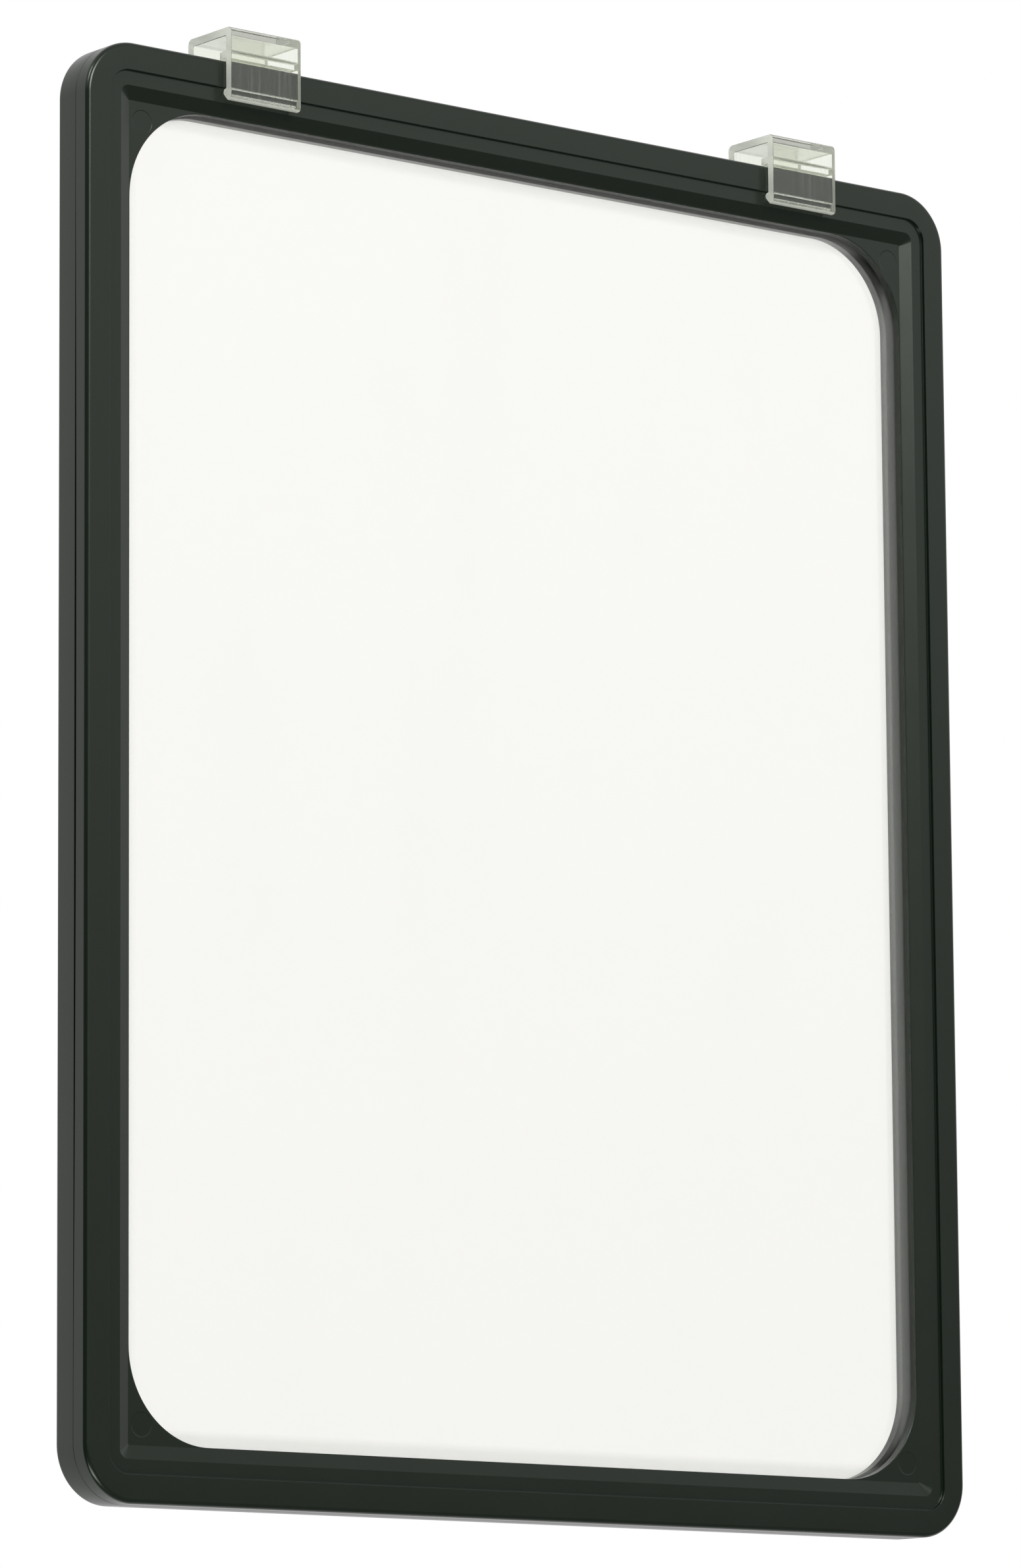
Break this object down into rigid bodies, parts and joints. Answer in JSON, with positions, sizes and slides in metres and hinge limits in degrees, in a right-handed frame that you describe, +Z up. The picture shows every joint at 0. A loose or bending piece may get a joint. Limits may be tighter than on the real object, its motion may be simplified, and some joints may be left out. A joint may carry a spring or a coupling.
{
  "type": "wire rack sign holder",
  "caption": "Portrait sign holder: stepped black plastic frame with clear protective sheets, hung under a rack wire by clear clips that slide along its top rail.",
  "frame": {"origin": "the wire's seat under the top plates of the clips, midway along the rail and midway through the frame's thickness", "axes": "+X to the right along the top rail as seen from the front, +Y from the front face to the back, +Z up"},
  "size_m": [0.236, 0.0152, 0.3064],
  "materials": {
    "black_plastic": "satin moulded",
    "clear_sheet": "clear polished",
    "clear_clip": "clear moulded"
  },
  "bodies": {
    "frame": {"front_half": "black_plastic", "back_half": "black_plastic", "front_clear_sheet": "clear_sheet", "back_clear_sheet": "clear_sheet"},
    "left_clip": {"left_clip": "clear_clip"},
    "right_clip": {"right_clip": "clear_clip"}
  },
  "joints": [
    {"name": "left_clip_slide", "type": "slide", "parent": "frame", "child": "left_clip", "axis": [1, 0, 0], "range_m": [-0.023, 0.064]},
    {"name": "right_clip_slide", "type": "slide", "parent": "frame", "child": "right_clip", "axis": [1, 0, 0], "range_m": [-0.065, 0.022]}
  ]
}
